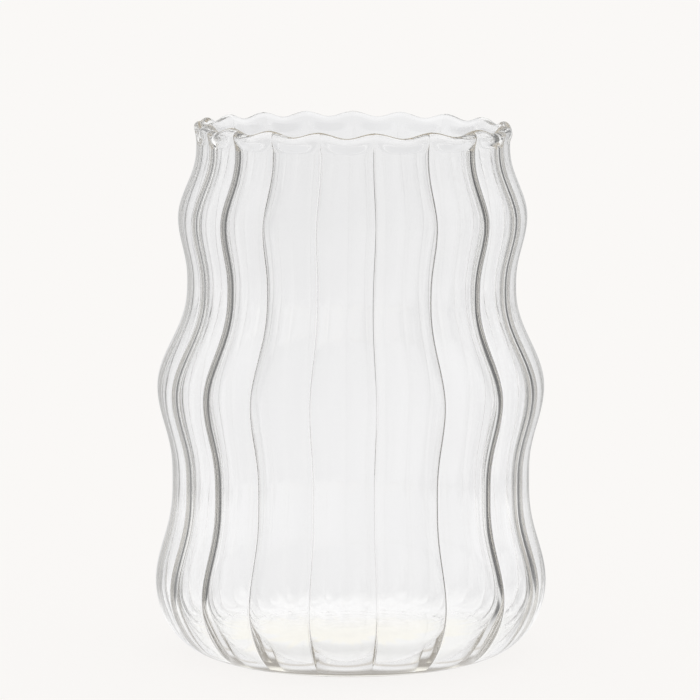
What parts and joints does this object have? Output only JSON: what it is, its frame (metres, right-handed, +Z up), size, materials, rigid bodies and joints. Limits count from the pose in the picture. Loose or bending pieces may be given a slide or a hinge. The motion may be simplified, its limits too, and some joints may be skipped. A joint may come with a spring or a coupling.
{
  "type": "chai glass",
  "caption": "Clear blown tea glass with a wall that swells and draws in, smooth outside and ribbed inside, a rounded heel and a wavy fire-polished lip; holds a hot or cold drink.",
  "frame": {"origin": "on the table, at the middle of the foot", "axes": "+Z up along the axis of the glass, +X to the right and +Y away from the camera in the pictured view"},
  "size_m": [0.074, 0.074, 0.1005],
  "materials": {
    "clear_glass": "clear, fire-polished"
  },
  "bodies": {
    "root": {"glass": "clear_glass"}
  },
  "joints": []
}
